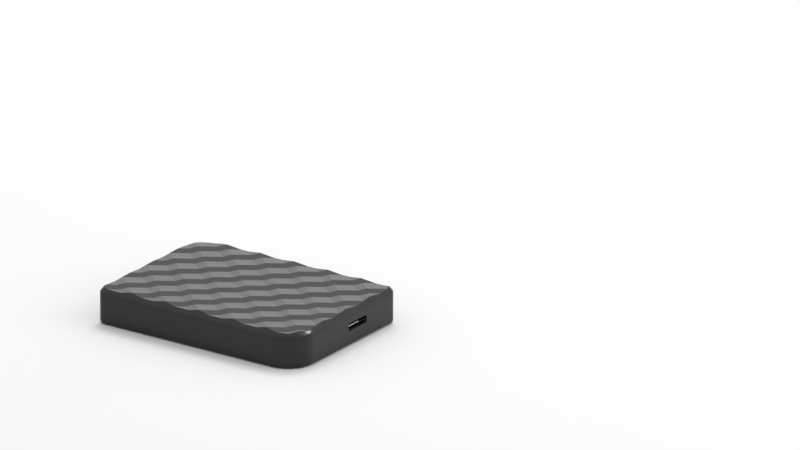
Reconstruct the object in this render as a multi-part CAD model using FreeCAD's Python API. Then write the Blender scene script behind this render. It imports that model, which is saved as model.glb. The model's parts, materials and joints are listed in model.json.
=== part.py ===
import FreeCAD, Part
import math
import os

from FreeCAD import Vector

# Pocket external solid state drive, millimetres.
# +X is the end with the socket, +Z is up, the origin is the middle of the underside.

# Outer form
length = 100.0
width = 72.0
mean_height = 15.98
large_corner_radius = 12.8
small_corner_radius = 3.0
bottom_edge_radius = 1.7
parting_height = 12.8
bevel_start_height = 14.21
bevel_rise = 3.2
bevel_inset = 2.48

# Folded relief on the cover: four leaning facets repeat along two slanting rows
relief_row_x = 8.46
relief_row_y = 8.54
relief_column_x = 8.51
relief_column_y = 8.48
ridge_long_x = 5.85
ridge_long_y = 5.79
fall_short_x = 2.89
fall_short_y = 2.72
ridge_drop = 0.66
fall_drop = 0.65
relief_start_x = -8.42
relief_start_y = -8.78

# Shells
wall = 2.2
floor_thickness = 1.8
cover_thickness = 1.6
lip_thickness = 0.9
lip_height = 1.5
lip_gap = 0.1
lip_seat_gap = 0.1
reveal_height = 0.08
reveal_depth = 0.1
bead_radius = 0.45
bead_sink = 0.1
bead_gap = 0.1
bead_length = 12.0
bead_spacing_x = 44.0
bead_spacing_y = 30.0
rib_width = 1.0
rib_height = 0.9

# How far the forms of one solid reach into each other before they are joined
overlap = 0.1

# Carrier board and its screws
board_thickness = 1.2
board_gap = 0.5
boss_radius = 2.6
boss_inset_x = 12.0
boss_inset_y = 7.5
boss_core_depth = 5.0
screw_core_radius = 0.95
screw_core_gap = 0.05
screw_hole_radius = 1.2
screw_head_radius = 1.9
screw_head_height = 1.2
screw_length = 5.6
screw_slot_width = 0.5
screw_slot_depth = 0.6
screw_slot_length = 2.2

# Socket in the +X end
port_center_y = 8.1
port_opening_low = 6.85
port_opening_width = 13.0
port_opening_height = 3.3
port_opening_radius = 0.5
port_low_gap = 0.15
port_width = 12.2
port_height = 2.1
port_wide_part = 7.3
port_narrow_height = 1.75
port_chamfer = 0.7
port_depth = 9.0
port_sheet = 0.3
port_mouth_recess = 0.4
port_leg_width = 1.2
port_leg_gap = 0.1
port_leg_stick_out = 0.4
port_leg_spread = 4.0
port_leg_setback = 2.6
tongue_thickness = 0.5
tongue_setback = 1.0
tongue_side_gap = 1.1
tongue_base = 2.0
contact_width = 0.35
contact_pitch = 0.65
contact_height = 0.12
contact_setback = 0.8
contact_fill = 0.7
wide_contact_count = 5
narrow_contact_count = 5

# Plug-in memory module, along the -Y side
module_width = 22.0
module_thickness = 0.8
module_lift = 2.0
module_socket_setback = 9.0
module_end_setback = 11.0
module_side_gap = 0.8
module_notch_radius = 1.75
module_key_width = 1.2
module_key_depth = 3.5
module_key_offset = 6.1
module_insert = 3.8
module_slot_gap = 0.08
socket_depth = 8.4
socket_height = 3.9
socket_side = 1.2
standoff_radius = 2.6
module_screw_head_radius = 2.3
module_screw_head_height = 0.8
module_screw_length = 2.2
module_screw_slot_length = 2.4
standoff_bore_floor = 0.3

# Parts on the boards
chip_edge = 0.15
chip_mark_radius = 0.35
chip_mark_depth = 0.08
module_chip_height = 1.2
controller_size = 12.0
memory_length = 18.0
memory_width = 14.0
cache_length = 8.0
cache_width = 11.0
pad_margin = 1.0
bridge_size = 7.0
bridge_height = 0.9
bridge_setback = 28.0
firmware_length = 5.2
firmware_width = 5.3
firmware_height = 1.6
firmware_setback = 40.0
firmware_shift_y = 1.0
lead_width = 0.42
lead_reach = 1.1
lead_thickness = 0.2
lead_pitch = 1.27
firmware_lead_count = 4
package_stand_off = 0.1
crystal_length = 5.0
crystal_width = 3.2
crystal_height = 0.9
crystal_flange = 0.35
crystal_shift_y = 9.0
inductor_size = 4.9
inductor_height = 2.4
inductor_core_radius = 2.06
inductor_setback = 16.0
inductor_side_setback = 16.0
regulator_length = 2.9
regulator_width = 1.6
regulator_height = 1.1
regulator_lead_pitch = 0.95
regulator_lead_count = 3
regulator_setback = 21.5
regulator_side_setback = 14.0
capacitor_length = 3.2
capacitor_width = 1.6
capacitor_height = 1.4
capacitor_cap = 0.5
capacitor_cap_lip = 0.06
capacitor_setback = 36.0
capacitor_side_setback = 8.2
capacitor_pitch = 3.4
capacitor_count = 4

# Worked out from the values above
board_top = port_opening_low + port_low_gap
board_bottom = board_top - board_thickness
relief_depth = ridge_drop + fall_drop
ceiling = mean_height - relief_depth / 2 - cover_thickness
lip_outer_inset = wall - lip_thickness
rabbet_inset = lip_outer_inset - lip_gap
lip_bottom = parting_height - lip_height
rabbet_floor = lip_bottom - lip_seat_gap
module_bottom = board_top + module_lift
module_top = module_bottom + module_thickness
module_start_x = -length / 2 + module_socket_setback
module_end_x = length / 2 - module_end_setback
module_low_y = -width / 2 + boss_inset_y + screw_head_radius + module_side_gap + socket_side
module_center_y = module_low_y + module_width / 2
chips_top = module_top + module_chip_height
port_mouth_x = length / 2 - port_mouth_recess
port_back_x = port_mouth_x - port_depth
bridge_x = length / 2 - bridge_setback
bridge_y = port_center_y
firmware_x = length / 2 - firmware_setback
firmware_y = bridge_y + firmware_shift_y
crystal_x = bridge_x
crystal_y = bridge_y + crystal_shift_y
inductor_x = length / 2 - inductor_setback
inductor_y = width / 2 - inductor_side_setback
regulator_x = length / 2 - regulator_setback
regulator_y = width / 2 - regulator_side_setback
capacitor_x = length / 2 - capacitor_setback
capacitor_y = width / 2 - capacitor_side_setback


def box(x0, x1, y0, y1, z0, z1):
    return Part.makeBox(x1 - x0, y1 - y0, z1 - z0, Vector(x0, y0, z0))


def centred_box(cx, cy, z0, size_x, size_y, size_z):
    return box(cx - size_x / 2, cx + size_x / 2, cy - size_y / 2, cy + size_y / 2, z0, z0 + size_z)


def rod(radius, height, cx, cy, z0):
    return Part.makeCylinder(radius, height, Vector(cx, cy, z0))


def save(shape, node):
    shape.exportStep("parts/" + node + ".step")


def outline(inset, z):
    """The plan of the drive, moved inwards by inset: two opposite corners are large arcs."""
    half_x = length / 2 - inset
    half_y = width / 2 - inset
    corners = [
        (1, -1, large_corner_radius - inset),
        (1, 1, small_corner_radius - inset),
        (-1, 1, large_corner_radius - inset),
        (-1, -1, small_corner_radius - inset),
    ]
    smallest_radius = 0.3
    edges = []
    last_point = None
    first_point = None
    for quarter, (side_x, side_y, radius) in enumerate(corners):
        radius = max(radius, smallest_radius)
        centre_x = side_x * (half_x - radius)
        centre_y = side_y * (half_y - radius)
        points = []
        for eighth in (0, 1, 2):
            angle = (quarter - 1) * math.pi / 2 + eighth * math.pi / 4
            points.append(Vector(centre_x + radius * math.cos(angle),
                                 centre_y + radius * math.sin(angle), z))
        if last_point is not None:
            edges.append(Part.LineSegment(last_point, points[0]).toShape())
        else:
            first_point = points[0]
        edges.append(Part.Arc(*points).toShape())
        last_point = points[2]
    edges.append(Part.LineSegment(last_point, first_point).toShape())
    return Part.Wire(edges)


def slab(inset, z0, z1):
    """A plate with the drive's plan, from z0 up to z1."""
    return Part.Face(outline(inset, z0)).extrude(Vector(0, 0, z1 - z0))


def relief_vertex(row, column):
    """A corner of the folded surface: rows run along the ridges, columns across them."""
    x = relief_start_x + (row // 2) * relief_row_x + (column // 2) * relief_column_x
    y = relief_start_y + (row // 2) * relief_row_y - (column // 2) * relief_column_y
    z = mean_height + relief_depth / 2
    if row % 2:
        x += ridge_long_x
        y += ridge_long_y
        z -= ridge_drop
    if column % 2:
        x += fall_short_x
        y -= fall_short_y
        z -= fall_drop
    return Vector(x, y, z)


def space_over_relief():
    """Everything above the folded surface, as one closed solid."""
    reach = length / 2 + width / 2
    rows = 2 * math.ceil(reach / min(relief_row_x, relief_column_x))
    columns = rows
    top = mean_height + 3 * relief_depth
    grid = [[relief_vertex(i, j) for j in range(-columns, columns + 1)] for i in range(-rows, rows + 1)]
    faces = []
    for i in range(2 * rows):
        for j in range(2 * columns):
            corners = [grid[i][j], grid[i + 1][j], grid[i + 1][j + 1], grid[i][j + 1]]
            faces.append(Part.Face(Part.makePolygon(corners + corners[:1])))
    rim = [grid[i][0] for i in range(2 * rows)]
    rim += [grid[2 * rows][j] for j in range(2 * columns)]
    rim += [grid[i][2 * columns] for i in range(2 * rows, 0, -1)]
    rim += [grid[0][j] for j in range(2 * columns, 0, -1)]
    lid = [Vector(point.x, point.y, top) for point in rim]
    for k in range(len(rim)):
        after = (k + 1) % len(rim)
        side = [rim[k], rim[after], lid[after], lid[k]]
        faces.append(Part.Face(Part.makePolygon(side + side[:1])))
    faces.append(Part.Face(Part.makePolygon(lid + lid[:1])))
    shell = Part.Shell(faces)
    shell.sewShape()
    solid = Part.Solid(shell)
    if solid.Volume < 0:
        solid.reverse()
    return solid


def bead_rods(radius):
    """Snap beads along the joint of the two shells, as rods of the given radius."""
    inset = lip_outer_inset + bead_sink
    height = (lip_bottom + parting_height) / 2
    rods = []
    for side in (-1, 1):
        for shift in (-bead_spacing_x / 2, bead_spacing_x / 2):
            start = Vector(shift - bead_length / 2, side * (width / 2 - inset), height)
            rods.append(Part.makeCylinder(radius, bead_length, start, Vector(1, 0, 0)))
        for shift in (-bead_spacing_y / 2, bead_spacing_y / 2):
            start = Vector(side * (length / 2 - inset), shift - bead_length / 2, height)
            rods.append(Part.makeCylinder(radius, bead_length, start, Vector(0, 1, 0)))
    return rods


def port_profile(grow):
    """The stepped outline of the socket seen from outside, grown on every side."""
    left = port_center_y - port_width / 2 - grow
    step = left + port_wide_part + 2 * grow
    right = port_center_y + port_width / 2 + grow
    low = board_top - grow
    high = board_top + port_height + grow
    narrow_high = board_top + port_narrow_height + grow
    cut = port_chamfer
    return [
        (left + cut, low), (right - cut, low), (right, low + cut), (right, narrow_high),
        (step, narrow_high), (step, high), (left, high), (left, low + cut),
    ]


def port_prism(grow, x0, x1):
    points = [Vector(x0, y, z) for y, z in port_profile(grow)]
    return Part.Face(Part.makePolygon(points + points[:1])).extrude(Vector(x1 - x0, 0, 0))


def port_opening():
    """The plain opening with rounded corners in front of the socket."""
    x0 = length / 2 - wall - 1
    opening = box(x0, length / 2 + 1, port_center_y - port_opening_width / 2,
                  port_center_y + port_opening_width / 2,
                  port_opening_low, port_opening_low + port_opening_height)
    corners = [edge for edge in opening.Edges if edge.BoundBox.XLength > wall]
    return opening.makeFillet(port_opening_radius, corners)


def boss_places():
    spot_x = length / 2 - boss_inset_x
    spot_y = width / 2 - boss_inset_y
    return [(x, y) for x in (-spot_x, spot_x) for y in (-spot_y, spot_y)]


def make_bottom_case():
    body = slab(0, 0, parting_height)
    rim = [edge for edge in body.Edges if edge.BoundBox.ZMax < 0.001]
    body = body.makeFillet(bottom_edge_radius, rim)
    body = body.cut(slab(wall, floor_thickness, parting_height + 1))
    body = body.cut(slab(rabbet_inset, rabbet_floor, parting_height + 1))
    for groove in bead_rods(bead_radius + bead_gap):
        body = body.cut(groove)
    inside = slab(wall, floor_thickness - overlap, floor_thickness + rib_height)
    ribs = []
    for side in (-1, 0, 1):
        at_y = side * (width / 2 - boss_inset_y)
        ribs.append(centred_box(0, at_y, floor_thickness - overlap, length, rib_width, rib_height + overlap))
        at_x = side * (length / 2 - boss_inset_x)
        ribs.append(centred_box(at_x, 0, floor_thickness - overlap, rib_width, width, rib_height + overlap))
    for rib in ribs:
        body = body.fuse(rib.common(inside))
    for x, y in boss_places():
        boss_height = board_bottom - floor_thickness + overlap
        body = body.fuse(rod(boss_radius, boss_height, x, y, floor_thickness - overlap))
    for x, y in boss_places():
        core = rod(screw_core_radius + screw_core_gap, boss_core_depth, x, y, board_bottom - boss_core_depth)
        body = body.cut(core)
    body = body.cut(port_opening())
    return body.removeSplitter()


def make_top_cover():
    skirt = slab(0, parting_height, bevel_start_height)
    bevel_top = bevel_start_height + bevel_rise
    bevel = Part.makeLoft([outline(0, bevel_start_height), outline(bevel_inset, bevel_top)], True, True)
    body = skirt.fuse(bevel)
    body = body.cut(space_over_relief())
    body = body.cut(slab(wall, parting_height - 1, ceiling))
    reveal = slab(-1, parting_height - 1, parting_height + reveal_height)
    body = body.cut(reveal.cut(slab(reveal_depth, parting_height - 2, parting_height + 1)))
    lip = slab(lip_outer_inset, lip_bottom, parting_height + overlap)
    lip = lip.cut(slab(wall, lip_bottom - 1, parting_height + 1))
    body = body.fuse(lip)
    for bead in bead_rods(bead_radius):
        body = body.fuse(bead)
    keep_inside = slab(wall, lip_bottom - 1, ceiling)
    body = body.cut(keep_inside)
    return body.removeSplitter()


def make_carrier_board():
    board = slab(wall + board_gap, board_bottom, board_top)
    for x, y in boss_places():
        board = board.cut(rod(screw_hole_radius, board_thickness + 2, x, y, board_bottom - 1))
    for leg in port_legs(port_leg_gap, board_bottom - 1, board_top + 1):
        board = board.cut(leg)
    return board


def make_board_screw(x, y):
    shank = rod(screw_core_radius, screw_length, x, y, board_top - screw_length)
    head = rod(screw_head_radius, screw_head_height, x, y, board_top)
    top_rim = [edge for edge in head.Edges
               if edge.BoundBox.ZMin > board_top + screw_head_height - 0.001]
    head = head.makeChamfer(screw_head_height / 4, top_rim)
    screw = head.fuse(shank)
    slot_floor = board_top + screw_head_height - screw_slot_depth
    for size_x, size_y in ((screw_slot_length, screw_slot_width),
                           (screw_slot_width, screw_slot_length)):
        screw = screw.cut(centred_box(x, y, slot_floor, size_x, size_y, screw_slot_depth + 1))
    return screw.removeSplitter()


def port_legs(grow, z0, z1):
    """Four upright legs of the socket's shell, grown on every side for their slots."""
    legs = []
    for side in (-1, 1):
        outer = port_center_y + side * (port_width / 2)
        inner = outer - side * port_sheet
        for step in (0, 1):
            centre_x = port_mouth_x - wall - port_leg_setback - step * port_leg_spread
            legs.append(box(centre_x - port_leg_width / 2 - grow, centre_x + port_leg_width / 2 + grow,
                            min(inner, outer) - grow, max(inner, outer) + grow, z0, z1))
    return legs


def make_port_shell():
    shell = port_prism(0, port_back_x, port_mouth_x)
    shell = shell.cut(port_prism(-port_sheet, port_back_x + port_sheet, port_mouth_x + 1))
    leg_bottom = board_bottom - port_leg_stick_out
    for leg in port_legs(0, leg_bottom, board_top + port_chamfer + port_sheet):
        shell = shell.fuse(leg)
    return shell.removeSplitter()


def tongue_spans():
    """The two tongues, wide and narrow, as start and end along Y."""
    left = port_center_y - port_width / 2
    right = port_center_y + port_width / 2
    step = left + port_wide_part
    return [(left + tongue_side_gap, step - tongue_side_gap / 2),
            (step + tongue_side_gap / 2, right - tongue_side_gap)]


def tongue_floor():
    return board_top + port_narrow_height / 2 - tongue_thickness / 2


def make_port_tongue():
    back = port_back_x + port_sheet
    tongue = port_prism(-port_sheet, back, back + tongue_base)
    front = port_mouth_x - tongue_setback
    for y0, y1 in tongue_spans():
        blade = box(back, front, y0, y1, tongue_floor(), tongue_floor() + tongue_thickness)
        nose = [edge for edge in blade.Edges
                if edge.BoundBox.XMin > front - 0.001 and edge.BoundBox.YLength > 1]
        tongue = tongue.fuse(blade.makeChamfer(tongue_thickness / 4, nose))
    return tongue.removeSplitter()


def make_port_contacts():
    """The spring strips under the two tongues, each a solid of its own."""
    strips = []
    counts = (wide_contact_count, narrow_contact_count)
    x0 = port_back_x + port_sheet + tongue_base
    x1 = port_mouth_x - tongue_setback - contact_setback
    for (y0, y1), count in zip(tongue_spans(), counts):
        pitch = min(contact_pitch, (y1 - y0) / count)
        middle = (y0 + y1) / 2
        for k in range(count):
            centre = middle + (k - (count - 1) / 2) * pitch
            strip = centred_box((x0 + x1) / 2, centre, tongue_floor() - contact_height,
                                x1 - x0, min(contact_width, pitch * contact_fill), contact_height)
            strips.append(strip)
    return Part.makeCompound(strips)


def make_module_board():
    y0 = module_center_y - module_width / 2
    y1 = module_center_y + module_width / 2
    board = box(module_start_x, module_end_x, y0, y1, module_bottom, module_top)
    notch = rod(module_notch_radius, module_thickness + 2, module_end_x, module_center_y, module_bottom - 1)
    key = centred_box(module_start_x, module_center_y + module_key_offset, module_bottom - 1,
                      2 * module_key_depth, module_key_width, module_thickness + 2)
    return board.cut(notch).cut(key)


def make_module_socket():
    half = module_width / 2 + socket_side
    front = module_start_x + module_insert
    back = front - socket_depth
    body = box(back, front, module_center_y - half, module_center_y + half, board_top, board_top + socket_height)
    upper = [edge for edge in body.Edges
             if edge.BoundBox.ZMin > board_top + socket_height - 0.001 and edge.BoundBox.YLength > 1]
    body = body.makeChamfer(socket_side / 3, upper)
    gap = module_slot_gap
    slot = box(module_start_x - gap, front + 1,
               module_center_y - module_width / 2 - gap, module_center_y + module_width / 2 + gap,
               module_bottom, module_top + gap)
    key = centred_box(module_start_x, module_center_y + module_key_offset, module_bottom,
                      2 * (module_key_depth - gap), module_key_width - 2 * gap, module_thickness + gap)
    return body.cut(slot.cut(key)).removeSplitter()


def make_module_standoff():
    nut = rod(standoff_radius, module_lift, module_end_x, module_center_y, board_top)
    neck_radius = module_notch_radius - module_slot_gap
    nut = nut.fuse(rod(neck_radius, module_lift + module_thickness, module_end_x, module_center_y, board_top))
    core = rod(screw_core_radius + screw_core_gap, module_lift + module_thickness + 1,
               module_end_x, module_center_y, board_top + standoff_bore_floor)
    return nut.cut(core).removeSplitter()


def make_module_screw():
    head = rod(module_screw_head_radius, module_screw_head_height, module_end_x, module_center_y, module_top)
    shank = rod(screw_core_radius, module_screw_length, module_end_x, module_center_y,
                module_top - module_screw_length)
    screw = head.fuse(shank)
    slot_floor = module_top + module_screw_head_height - screw_slot_depth
    for size_x, size_y in ((module_screw_slot_length, screw_slot_width),
                           (screw_slot_width, module_screw_slot_length)):
        screw = screw.cut(centred_box(module_end_x, module_center_y, slot_floor, size_x, size_y, 1))
    return screw.removeSplitter()


def make_chip(cx, cy, z0, size_x, size_y, size_z):
    """A moulded chip package with a small edge bevel and a dimple at its first corner."""
    body = centred_box(cx, cy, z0, size_x, size_y, size_z)
    upper = [edge for edge in body.Edges if edge.BoundBox.ZMin > z0 + size_z - 0.001]
    body = body.makeChamfer(chip_edge, upper)
    mark_x = cx - size_x / 2 + 3 * chip_mark_radius
    mark_y = cy + size_y / 2 - 3 * chip_mark_radius
    return body.cut(rod(chip_mark_radius, 1, mark_x, mark_y, z0 + size_z - chip_mark_depth))


def with_leads(body, cx, cy, z0, size_x, size_y, pitch, count, foot):
    """Bent leads in a row along each long side of a package."""
    rise = foot + lead_thickness
    for side in (-1, 1):
        for k in range(count):
            lead_x = cx + (k - (count - 1) / 2) * pitch
            edge_y = cy + side * size_y / 2
            tip_y = edge_y + side * lead_reach
            knee_y = edge_y + side * lead_reach / 2
            shoulder = box(lead_x - lead_width / 2, lead_x + lead_width / 2,
                           min(edge_y - side * overlap, knee_y), max(edge_y - side * overlap, knee_y),
                           z0 + foot, z0 + rise)
            drop = box(lead_x - lead_width / 2, lead_x + lead_width / 2,
                       min(knee_y, knee_y - side * lead_thickness),
                       max(knee_y, knee_y - side * lead_thickness), z0, z0 + rise)
            sole = box(lead_x - lead_width / 2, lead_x + lead_width / 2,
                       min(knee_y - side * lead_thickness, tip_y),
                       max(knee_y - side * lead_thickness, tip_y), z0, z0 + lead_thickness)
            body = body.fuse([shoulder, drop, sole])
    return body.removeSplitter()


def make_firmware_chip():
    body = make_chip(firmware_x, firmware_y, board_top + package_stand_off, firmware_length, firmware_width,
                     firmware_height - package_stand_off)
    return with_leads(body, firmware_x, firmware_y, board_top, firmware_length, firmware_width,
                      lead_pitch, firmware_lead_count, firmware_height / 2)


def make_regulator():
    body = centred_box(regulator_x, regulator_y, board_top + package_stand_off, regulator_length, regulator_width,
                       regulator_height - package_stand_off)
    return with_leads(body, regulator_x, regulator_y, board_top, regulator_length, regulator_width,
                      regulator_lead_pitch, regulator_lead_count, regulator_height / 2)


def make_crystal():
    base = centred_box(crystal_x, crystal_y, board_top, crystal_length, crystal_width, crystal_flange)
    can = centred_box(crystal_x, crystal_y, board_top, crystal_length - 2 * crystal_flange,
                      crystal_width - 2 * crystal_flange, crystal_height)
    upright = [edge for edge in can.Edges if edge.BoundBox.ZLength > crystal_height / 2]
    can = can.makeFillet(crystal_flange, upright)
    return base.fuse(can).removeSplitter()


def make_inductor():
    body = centred_box(inductor_x, inductor_y, board_top, inductor_size, inductor_size, inductor_height)
    upright = [edge for edge in body.Edges if edge.BoundBox.ZLength > inductor_height / 2]
    body = body.makeChamfer(inductor_size / 6, upright)
    waist = rod(inductor_size, inductor_height / 2, inductor_x, inductor_y, board_top + inductor_height / 4)
    core = rod(inductor_core_radius, inductor_height, inductor_x, inductor_y, board_top)
    return body.cut(waist.cut(core)).removeSplitter()


def make_capacitor(cx, cy):
    z0 = board_top
    body = centred_box(cx, cy, z0 + capacitor_cap_lip, capacitor_length - 2 * capacitor_cap,
                       capacitor_width - 2 * capacitor_cap_lip, capacitor_height - 2 * capacitor_cap_lip)
    for side in (-1, 1):
        cap_x = cx + side * (capacitor_length - capacitor_cap) / 2
        body = body.fuse(centred_box(cap_x, cy, z0, capacitor_cap, capacitor_width, capacitor_height))
    return body.removeSplitter()


def module_chip_places():
    """The chips of the module in a row, with equal gaps between the socket and the screw."""
    row = [("cache_chip", cache_length, cache_width), ("controller_chip", controller_size, controller_size),
           ("memory_chip_1", memory_length, memory_width), ("memory_chip_2", memory_length, memory_width)]
    start = module_start_x + module_insert
    end = module_end_x - module_screw_head_radius
    gap = (end - start - sum(size_x for name, size_x, size_y in row)) / (len(row) + 1)
    places = []
    for name, size_x, size_y in row:
        places.append((name, start + gap + size_x / 2, size_x, size_y))
        start += gap + size_x
    return places


def make_module_chip(place):
    name, centre_x, size_x, size_y = place
    return make_chip(centre_x, module_center_y, module_top, size_x, size_y, module_chip_height)


def make_thermal_pad():
    places = module_chip_places()
    x0 = places[1][1] - controller_size / 2 + pad_margin
    x1 = places[-1][1] + memory_length / 2 - pad_margin
    half = min(controller_size, memory_width) / 2 - pad_margin
    return box(x0, x1, module_center_y - half, module_center_y + half, chips_top, ceiling)


def main():
    os.makedirs("parts", exist_ok=True)
    save(make_bottom_case(), "bottom_case")
    save(make_top_cover(), "top_cover")
    save(make_carrier_board(), "carrier_board")
    for number, (x, y) in enumerate(boss_places(), 1):
        save(make_board_screw(x, y), "board_screw_" + str(number))
    save(make_port_shell(), "port_shell")
    save(make_port_tongue(), "port_tongue")
    save(make_port_contacts(), "port_contacts")
    save(make_module_board(), "module_board")
    save(make_module_socket(), "module_socket")
    save(make_module_standoff(), "module_standoff")
    save(make_module_screw(), "module_screw")
    for place in module_chip_places():
        save(make_module_chip(place), place[0])
    save(make_thermal_pad(), "thermal_pad")
    save(make_chip(bridge_x, bridge_y, board_top, bridge_size, bridge_size, bridge_height), "bridge_chip")
    save(make_firmware_chip(), "firmware_chip")
    save(make_regulator(), "regulator")
    save(make_crystal(), "crystal")
    save(make_inductor(), "inductor")
    for number in range(capacitor_count):
        save(make_capacitor(capacitor_x, capacitor_y - number * capacitor_pitch),
             "capacitor_" + str(number + 1))


main()
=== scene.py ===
import json
import math

import bmesh
import bpy
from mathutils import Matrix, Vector


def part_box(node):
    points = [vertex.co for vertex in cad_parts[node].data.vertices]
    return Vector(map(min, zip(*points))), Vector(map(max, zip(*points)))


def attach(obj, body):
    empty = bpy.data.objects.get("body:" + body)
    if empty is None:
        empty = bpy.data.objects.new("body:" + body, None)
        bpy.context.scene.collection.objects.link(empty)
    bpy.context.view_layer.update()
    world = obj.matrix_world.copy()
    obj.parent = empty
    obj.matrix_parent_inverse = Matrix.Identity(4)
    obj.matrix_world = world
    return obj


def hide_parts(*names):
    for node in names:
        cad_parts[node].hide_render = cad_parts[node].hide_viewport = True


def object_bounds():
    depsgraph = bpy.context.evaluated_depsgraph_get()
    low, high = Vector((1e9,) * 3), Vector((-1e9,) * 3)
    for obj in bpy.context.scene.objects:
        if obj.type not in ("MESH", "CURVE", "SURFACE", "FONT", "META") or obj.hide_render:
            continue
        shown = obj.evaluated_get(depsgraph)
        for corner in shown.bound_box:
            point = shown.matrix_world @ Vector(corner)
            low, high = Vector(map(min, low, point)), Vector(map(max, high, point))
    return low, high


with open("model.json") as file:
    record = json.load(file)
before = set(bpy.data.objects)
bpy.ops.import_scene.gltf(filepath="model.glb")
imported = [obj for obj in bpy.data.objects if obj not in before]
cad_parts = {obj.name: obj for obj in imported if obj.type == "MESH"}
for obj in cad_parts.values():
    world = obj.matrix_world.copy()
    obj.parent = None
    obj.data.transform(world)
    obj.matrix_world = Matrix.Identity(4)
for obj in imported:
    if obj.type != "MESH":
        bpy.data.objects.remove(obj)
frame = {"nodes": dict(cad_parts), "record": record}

# A flat pocket drive in dark satin plastic. Lengths are in metres.
MM = 0.001

CAD_LOW, CAD_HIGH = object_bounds()

# Camera: it looks at the corner between the long side and the socket end
CAMERA_AZIMUTH = math.radians(35.13)
CAMERA_ELEVATION = math.radians(21.11)
CAMERA_LENS = 700.0
SENSOR_WIDTH = 36.0
CAMERA_NEAR = 0.1
CAMERA_FAR = 100.0
SIGHT_POINT = Vector((-12.8 * MM, 128.0 * MM, 0.0))
PICTURE_PIXELS = 800
PIXELS_PER_METRE = 2427.5

# Floor and dome: "lighting" is what falls on the drive, "seen" is what the camera and gloss find
FLOOR_SIZE = 12.0
FLOOR_LIGHTING = 0.45
FLOOR_SEEN = 0.98
DOME_LIGHTING = 0.69
DOME_SEEN = 1.17

# Grain and drift of the finishes
PLASTIC_GRAIN_SIZE = 0.22 * MM
PLASTIC_GRAIN_DEPTH = 0.02 * MM
PLASTIC_TONE_LOW = 0.93
PLASTIC_TONE_HIGH = 1.07
PLASTIC_ROUGHNESS_DRIFT = 0.02
METAL_GRAIN_SIZE = 0.1 * MM
METAL_TONE_LOW = 0.9
METAL_ROUGHNESS_DRIFT = 0.06
DRIFT_SIZE = 20 * MM
GRAIN_DETAIL = 2.0
DRIFT_DETAIL = 3.0

# Socket sleeve: the lip over its tall half has a painted highlight up to this Y and above this
# height; elsewhere the sleeve is dark steel as painted shade
LIP_END = 9.3 * MM
LIP_END_FADE = 0.2 * MM
LIP_UNDERSIDE = 8.75 * MM
LIP_UNDERSIDE_FADE = 0.1 * MM

# Cover: the rounds on its shoulder, and what share of that the rim and the folds get
SHOULDER_ROUND = 0.5 * MM
RIM_SHARE = 0.5
FOLD_SHARE = 0.18
ROUND_SEGMENTS = 4
ROUNDS_ABOVE_CASE = 0.5 * MM
MERGE_DISTANCE = 0.002 * MM
FLAT_ANGLE = math.radians(0.5)
FOLD_ANGLE = math.radians(3)
SHARP_ANGLE = math.radians(25)
# How far up a face's normal points: over the first on the relief, over the second on the bevel
RELIEF_UPRIGHT = 0.9
BEVEL_UPRIGHT = 0.3

# Corner spot: what it is aimed at, and how far its grid lets the light spread
NEAR_CORNER = Vector((45.3 * MM, -31.5 * MM, 15.0 * MM))
CORNER_SPOT_SPREAD = math.radians(40)


def view_back():
    """Unit vector from the drive towards the camera."""
    flat = math.cos(CAMERA_ELEVATION)
    return Vector((math.sin(CAMERA_AZIMUTH) * flat, -math.cos(CAMERA_AZIMUTH) * flat,
                   math.sin(CAMERA_ELEVATION)))


def add_camera():
    """The lens is aimed at the drive; a shift brings the sight point to the picture's middle."""
    back = view_back()
    right = Vector((math.cos(CAMERA_AZIMUTH), math.sin(CAMERA_AZIMUTH), 0))
    drive_middle = (CAD_LOW + CAD_HIGH) / 2
    aside = SIGHT_POINT - drive_middle
    picture_width = PICTURE_PIXELS / PIXELS_PER_METRE
    data = bpy.data.cameras.new("camera")
    data.lens = CAMERA_LENS
    data.sensor_width = SENSOR_WIDTH
    data.shift_x = aside.dot(right) / picture_width
    data.shift_y = aside.dot(back.cross(right)) / picture_width
    data.clip_start = CAMERA_NEAR
    data.clip_end = CAMERA_FAR
    camera = bpy.data.objects.new("camera", data)
    bpy.context.scene.collection.objects.link(camera)
    camera.location = drive_middle + back * picture_width * CAMERA_LENS / SENSOR_WIDTH
    camera.rotation_euler = (-back).to_track_quat("-Z", "Y").to_euler()
    bpy.context.scene.camera = camera


def set_value(node, **values):
    """Sets a node's inputs by their names, with _ for a space."""
    for name, value in values.items():
        node.inputs[name.replace("_", " ")].default_value = value


def grey(tone):
    return (tone, tone, tone)


def new_material(name):
    material = bpy.data.materials.new(name)
    material.use_nodes = True
    nodes = material.node_tree.nodes
    return material, nodes, material.node_tree.links, nodes["Principled BSDF"]


def add_noise(nodes, links, place, feature_size, detail):
    """Noise on Object coordinates, with features of the size that comes in."""
    scale = nodes.new("ShaderNodeMath")
    scale.operation = "DIVIDE"
    scale.inputs[0].default_value = 1.0
    links.new(feature_size, scale.inputs[1])
    noise = nodes.new("ShaderNodeTexNoise")
    set_value(noise, Detail=detail)
    links.new(place.outputs["Object"], noise.inputs["Vector"])
    links.new(scale.outputs[0], noise.inputs["Scale"])
    return noise.outputs["Fac"]


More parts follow.
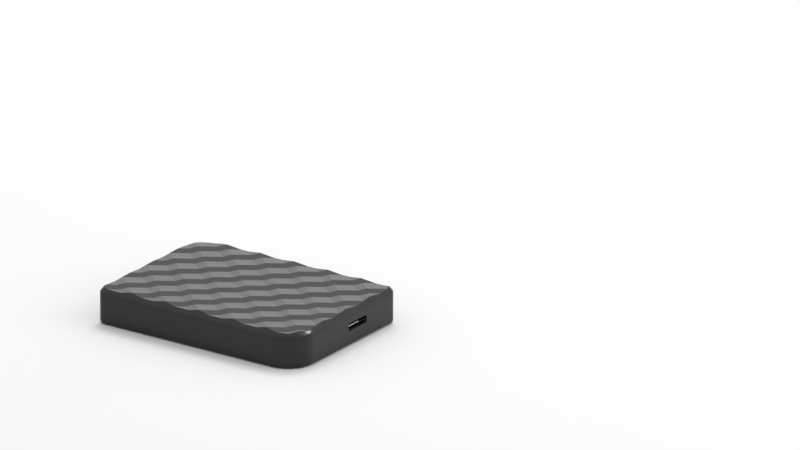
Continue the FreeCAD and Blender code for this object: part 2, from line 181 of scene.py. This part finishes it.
def grain_group():
    """Fine moulded grain: a height for the bump and a mask for small changes of tone and gloss."""
    group = bpy.data.node_groups.new("moulded_grain", "ShaderNodeTree")
    for name, start in (("Size", PLASTIC_GRAIN_SIZE), ("Drift", DRIFT_SIZE)):
        socket = group.interface.new_socket(name, in_out="INPUT", socket_type="NodeSocketFloat")
        socket.default_value = start
    for name in ("Height", "Mask"):
        group.interface.new_socket(name, in_out="OUTPUT", socket_type="NodeSocketFloat")
    nodes, links = group.nodes, group.links
    inside = nodes.new("NodeGroupInput")
    outside = nodes.new("NodeGroupOutput")
    place = nodes.new("ShaderNodeTexCoord")
    fine = add_noise(nodes, links, place, inside.outputs["Size"], GRAIN_DETAIL)
    drift = add_noise(nodes, links, place, inside.outputs["Drift"], DRIFT_DETAIL)
    links.new(fine, outside.inputs["Height"])
    links.new(drift, outside.inputs["Mask"])
    return group


def add_grain(nodes, size):
    texture = nodes.new("ShaderNodeGroup")
    texture.node_tree = GRAIN
    set_value(texture, Size=size)
    return texture


def vary_roughness(nodes, links, shader, mask, roughness, drift):
    """As the mask goes from 0 to 1, roughness goes from a drift below its middle to one above."""
    dull = nodes.new("ShaderNodeMapRange")
    set_value(dull, To_Min=roughness - drift, To_Max=roughness + drift)
    links.new(mask, dull.inputs["Value"])
    links.new(dull.outputs["Result"], shader.inputs["Roughness"])


def blend_colour(nodes, links, shader, mask, first, second):
    """As the mask goes from 0 to 1, the base colour goes from the first to the second."""
    tone = nodes.new("ShaderNodeMix")
    tone.data_type = "RGBA"
    set_value(tone, A=(*first, 1.0), B=(*second, 1.0))
    links.new(mask, tone.inputs["Factor"])
    links.new(tone.outputs["Result"], shader.inputs["Base Color"])


def plastic(name, colour, roughness, gloss, grain):
    """Moulded plastic with fine grain; its roughness and tone drift a little over the surface."""
    material, nodes, links, shader = new_material(name)
    texture = add_grain(nodes, PLASTIC_GRAIN_SIZE)
    bump = nodes.new("ShaderNodeBump")
    set_value(bump, Strength=grain, Distance=PLASTIC_GRAIN_DEPTH)
    links.new(texture.outputs["Height"], bump.inputs["Height"])
    links.new(bump.outputs["Normal"], shader.inputs["Normal"])
    darker = [PLASTIC_TONE_LOW * part for part in colour]
    lighter = [PLASTIC_TONE_HIGH * part for part in colour]
    blend_colour(nodes, links, shader, texture.outputs["Mask"], darker, lighter)
    vary_roughness(nodes, links, shader, texture.outputs["Mask"], roughness,
                   PLASTIC_ROUGHNESS_DRIFT)
    set_value(shader, Specular_IOR_Level=gloss)
    return material


def metal(name, colour, roughness):
    """Plain sheet or turned metal, with a slow drift of tone and fine changes of gloss."""
    material, nodes, links, shader = new_material(name)
    texture = add_grain(nodes, METAL_GRAIN_SIZE)
    vary_roughness(nodes, links, shader, texture.outputs["Height"], roughness,
                   METAL_ROUGHNESS_DRIFT)
    darker = [METAL_TONE_LOW * part for part in colour]
    blend_colour(nodes, links, shader, texture.outputs["Mask"], darker, colour)
    set_value(shader, Metallic=1.0)
    return material


def painted_highlight_mask(nodes, links):
    """1 on the upper lip of the socket's tall half, where a highlight is painted, else 0."""
    place = nodes.new("ShaderNodeTexCoord")
    apart = nodes.new("ShaderNodeSeparateXYZ")
    links.new(place.outputs["Object"], apart.inputs["Vector"])
    lip = nodes.new("ShaderNodeMath")
    lip.operation = "MULTIPLY"
    fades = (("Y", LIP_END + LIP_END_FADE, LIP_END - LIP_END_FADE),
             ("Z", LIP_UNDERSIDE - LIP_UNDERSIDE_FADE, LIP_UNDERSIDE + LIP_UNDERSIDE_FADE))
    for socket, (axis, shade_from, highlight_from) in zip(lip.inputs, fades):
        fade = nodes.new("ShaderNodeMapRange")
        set_value(fade, From_Min=shade_from, From_Max=highlight_from)
        links.new(apart.outputs[axis], fade.inputs["Value"])
        links.new(fade.outputs["Result"], socket)
    return lip.outputs[0]


def painted_lip_highlight_steel(name, painted_shade_tone, painted_highlight_tone, roughness):
    """Sheet steel made dark as painted shade, with a painted highlight along the upper lip of the
    socket's tall half.
    """
    material, nodes, links, shader = new_material(name)
    texture = add_grain(nodes, METAL_GRAIN_SIZE)
    vary_roughness(nodes, links, shader, texture.outputs["Height"], roughness,
                   METAL_ROUGHNESS_DRIFT)
    # Painted shade on the sleeve, and a painted highlight where the mask is 1
    blend_colour(nodes, links, shader, painted_highlight_mask(nodes, links), grey(painted_shade_tone), grey(painted_highlight_tone))
    set_value(shader, Metallic=1.0)
    return material


def dress(piece, material):
    piece.data.materials.clear()
    piece.data.materials.append(material)


def seen_mask(nodes, links):
    """1 for rays from the camera and for those that gloss and glass send on, else 0."""
    path = nodes.new("ShaderNodeLightPath")
    mask = path.outputs["Is Camera Ray"]
    for ray in ("Is Glossy Ray", "Is Transmission Ray"):
        larger = nodes.new("ShaderNodeMath")
        larger.operation = "MAXIMUM"
        links.new(mask, larger.inputs[0])
        links.new(path.outputs[ray], larger.inputs[1])
        mask = larger.outputs[0]
    return mask


def add_floor():
    bpy.ops.mesh.primitive_plane_add(size=FLOOR_SIZE, location=(0, 0, 0))
    floor = bpy.context.object
    floor.name = "floor"
    material, nodes, links, shader = new_material("floor")
    blend_colour(nodes, links, shader, seen_mask(nodes, links),
                 grey(FLOOR_LIGHTING), grey(FLOOR_SEEN))
    set_value(shader, Roughness=1.0, Specular_IOR_Level=0.0)
    floor.data.materials.append(material)


def add_world():
    world = bpy.data.worlds.new("studio")
    bpy.context.scene.world = world
    world.use_nodes = True
    nodes, links = world.node_tree.nodes, world.node_tree.links
    background = nodes["Background"]
    set_value(background, Color=(*grey(1.0), 1.0))
    strength = nodes.new("ShaderNodeMapRange")
    set_value(strength, To_Min=DOME_LIGHTING, To_Max=DOME_SEEN)
    links.new(seen_mask(nodes, links), strength.inputs["Value"])
    links.new(strength.outputs["Result"], background.inputs["Strength"])


def add_softbox(name, azimuth, elevation, distance, size, power, aim=Vector((0, 0, 0))):
    """A square lamp that faces the aim point; azimuth 0 is in front of it, towards -Y."""
    data = bpy.data.lights.new(name, "AREA")
    data.shape = "SQUARE"
    data.size = size
    data.energy = power
    lamp = bpy.data.objects.new(name, data)
    bpy.context.scene.collection.objects.link(lamp)
    turn, rise = math.radians(azimuth), math.radians(elevation)
    away = Vector((math.sin(turn) * math.cos(rise), -math.cos(turn) * math.cos(rise),
                   math.sin(rise)))
    lamp.location = aim + away * distance
    lamp.rotation_euler = (-away).to_track_quat("-Z", "Y").to_euler()
    return lamp


def add_corner_spot():
    """A small gridded lamp close to the near corner, which shows there as a highlight only."""
    spot = add_softbox("corner_spot", azimuth=134, elevation=34, distance=35 * MM,
                       size=11.5 * MM, power=0.0004, aim=NEAR_CORNER)
    spot.data.spread = CORNER_SPOT_SPREAD
    spot.visible_camera = False
    spot.visible_diffuse = False


def rounding(edge, lowest):
    """The share of SHOULDER_ROUND that an outer edge of the cover gets."""
    if len(edge.link_faces) != 2 or min(corner.co.z for corner in edge.verts) < lowest:
        return 0.0
    first, second = edge.link_faces
    steeper, flatter = sorted((first.normal.z, second.normal.z))
    if flatter < BEVEL_UPRIGHT or first.normal.angle(second.normal) < FOLD_ANGLE:
        return 0.0
    if steeper > RELIEF_UPRIGHT:
        return FOLD_SHARE
    if flatter > RELIEF_UPRIGHT:
        return RIM_SHARE
    return 1.0 if steeper < BEVEL_UPRIGHT else 0.0


def is_sharp(edge):
    if len(edge.link_faces) != 2:
        return False
    first, second = edge.link_faces
    return first.normal.angle(second.normal) > SHARP_ANGLE


def merge_cover(piece):
    """Merges the cover's loose triangles, and marks the edges that are rounded or stay sharp."""
    mesh = bmesh.new()
    mesh.from_mesh(piece.data)
    bmesh.ops.remove_doubles(mesh, verts=mesh.verts, dist=MERGE_DISTANCE)
    bmesh.ops.dissolve_limit(mesh, angle_limit=FLAT_ANGLE, verts=mesh.verts, edges=mesh.edges)
    mesh.normal_update()
    weights = mesh.edges.layers.float.new("bevel_weight_edge")
    case_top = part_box("bottom_case")[1][2]
    for edge in mesh.edges:
        edge[weights] = rounding(edge, case_top + ROUNDS_ABOVE_CASE)
        if is_sharp(edge):
            edge.smooth = edge[weights] > 0
    for face in mesh.faces:
        face.smooth = True
    mesh.to_mesh(piece.data)
    mesh.free()


def finished_cover():
    """Replaces the cover by a copy with narrow rounds on its shoulder, rim and folds."""
    original = frame["nodes"]["top_cover"]
    piece = bpy.data.objects.new("cover_finished", original.data.copy())
    bpy.context.scene.collection.objects.link(piece)
    merge_cover(piece)
    rounds = piece.modifiers.new("rounds", "BEVEL")
    rounds.limit_method = "WEIGHT"
    rounds.width = SHOULDER_ROUND
    rounds.segments = ROUND_SEGMENTS
    rounds.use_clamp_overlap = False
    shading = piece.modifiers.new("even_shading", "WEIGHTED_NORMAL")
    shading.keep_sharp = True
    bpy.context.view_layer.objects.active = piece
    piece.select_set(True)
    bpy.ops.object.modifier_apply(modifier=rounds.name)
    bpy.ops.object.modifier_apply(modifier=shading.name)
    bpy.ops.object.select_all(action="DESELECT")
    # Where rounds meet on a peak they can stand a few micrometres proud of the solid
    for corner in piece.data.vertices:
        corner.co.z = min(corner.co.z, CAD_HIGH[2])
    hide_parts("top_cover")
    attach(piece, "root")
    dress(piece, FINISHES["cover_plastic"])


GRAIN = grain_group()
bpy.ops.object.select_all(action="DESELECT")
add_camera()
add_floor()
add_world()
add_softbox("top_softbox", azimuth=198, elevation=68, distance=1.2, size=0.45, power=3.5)
add_softbox("back_softbox", azimuth=228, elevation=48, distance=1.3, size=0.6, power=0.3)
add_softbox("side_softbox", azimuth=112, elevation=34, distance=1.3, size=0.8, power=2.6)
add_corner_spot()

# The finish of each material slot
FINISHES = {
    "case_plastic": plastic("case_plastic", grey(0.016), roughness=0.22, gloss=0.34, grain=0.2),
    "cover_plastic": plastic("cover_plastic", grey(0.016), roughness=0.19, gloss=0.335, grain=0.2),
    "socket_plastic": plastic("socket_plastic", grey(0.02), roughness=0.5, gloss=0.4, grain=0.2),
    "board": plastic("board_mask", (0.01, 0.09, 0.04), roughness=0.35, gloss=0.5, grain=0.3),
    "chip": plastic("chip_plastic", grey(0.03), roughness=0.6, gloss=0.4, grain=0.4),
    "pad": plastic("pad_rubber", (0.4, 0.45, 0.53), roughness=0.8, gloss=0.3, grain=0.3),
    "ferrite": plastic("ferrite", grey(0.09), roughness=0.6, gloss=0.5, grain=0.4),
    "ceramic": plastic("ceramic", (0.45, 0.34, 0.22), roughness=0.5, gloss=0.5, grain=0.3),
    "sheet_steel": metal("sheet_steel", (0.62, 0.62, 0.63), roughness=0.28),
    "screw_steel": metal("screw_steel", (0.5, 0.5, 0.52), roughness=0.35),
    "contact": metal("contact_gold", (0.85, 0.62, 0.28), roughness=0.25),
}
for subpart in frame["record"]["subparts"]:
    dress(frame["nodes"][subpart["node"]], FINISHES[subpart["material_slot"]])
# Socket sleeve: its dark steel is painted shade and its bright upper lip is a painted highlight
dress(frame["nodes"]["port_shell"],
      painted_lip_highlight_steel("port_steel_painted_light", painted_shade_tone=0.02, painted_highlight_tone=0.62, roughness=0.3))
finished_cover()

bpy.context.scene.view_settings.view_transform = "Standard"
